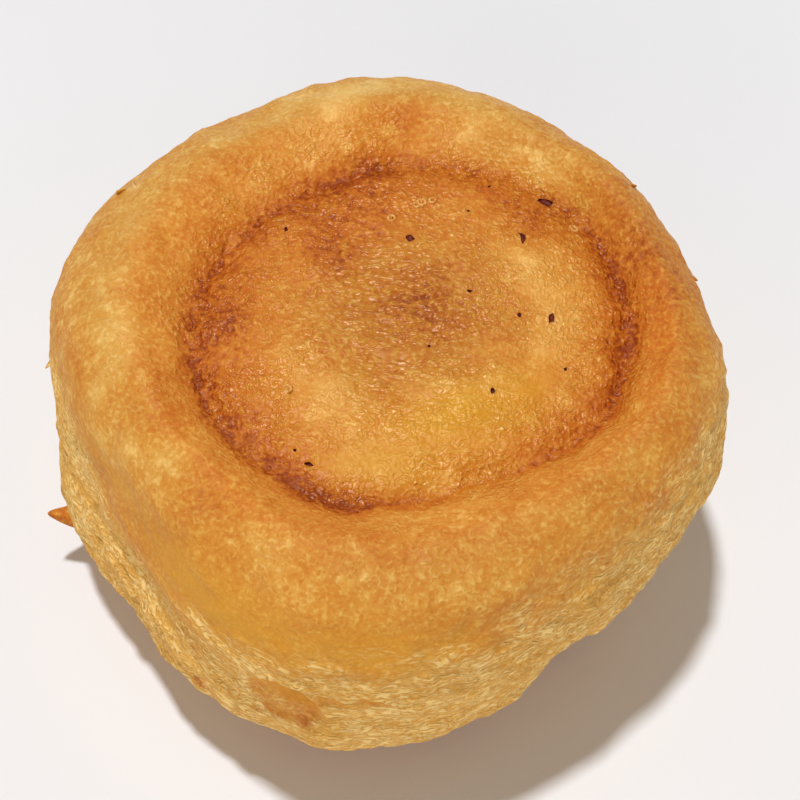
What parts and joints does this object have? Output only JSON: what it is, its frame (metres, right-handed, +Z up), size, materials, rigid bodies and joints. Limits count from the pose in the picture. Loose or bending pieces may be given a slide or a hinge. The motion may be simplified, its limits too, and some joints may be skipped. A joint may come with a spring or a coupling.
{
  "type": "cream puff",
  "caption": "Uncut round cream puff lying with its sunken baked panel facing up, a browned crease round the panel, a fat rolled rim and a pale, finely cracked side.",
  "frame": {"origin": "on the surface that the puff lies on, under the middle of its bounding box", "axes": "+Z up out of the sunken panel, +X to the right and -Y towards the front, where the rolled rim is widest; the small tip of dough points to -X"},
  "size_m": [0.0812, 0.0824, 0.0443],
  "materials": {
    "crust": "golden-brown baked choux crust, slightly glossy on the browned panel and crease, dry and straw-pale on the cracked side"
  },
  "bodies": {
    "root": {"puff": "crust"}
  },
  "joints": []
}
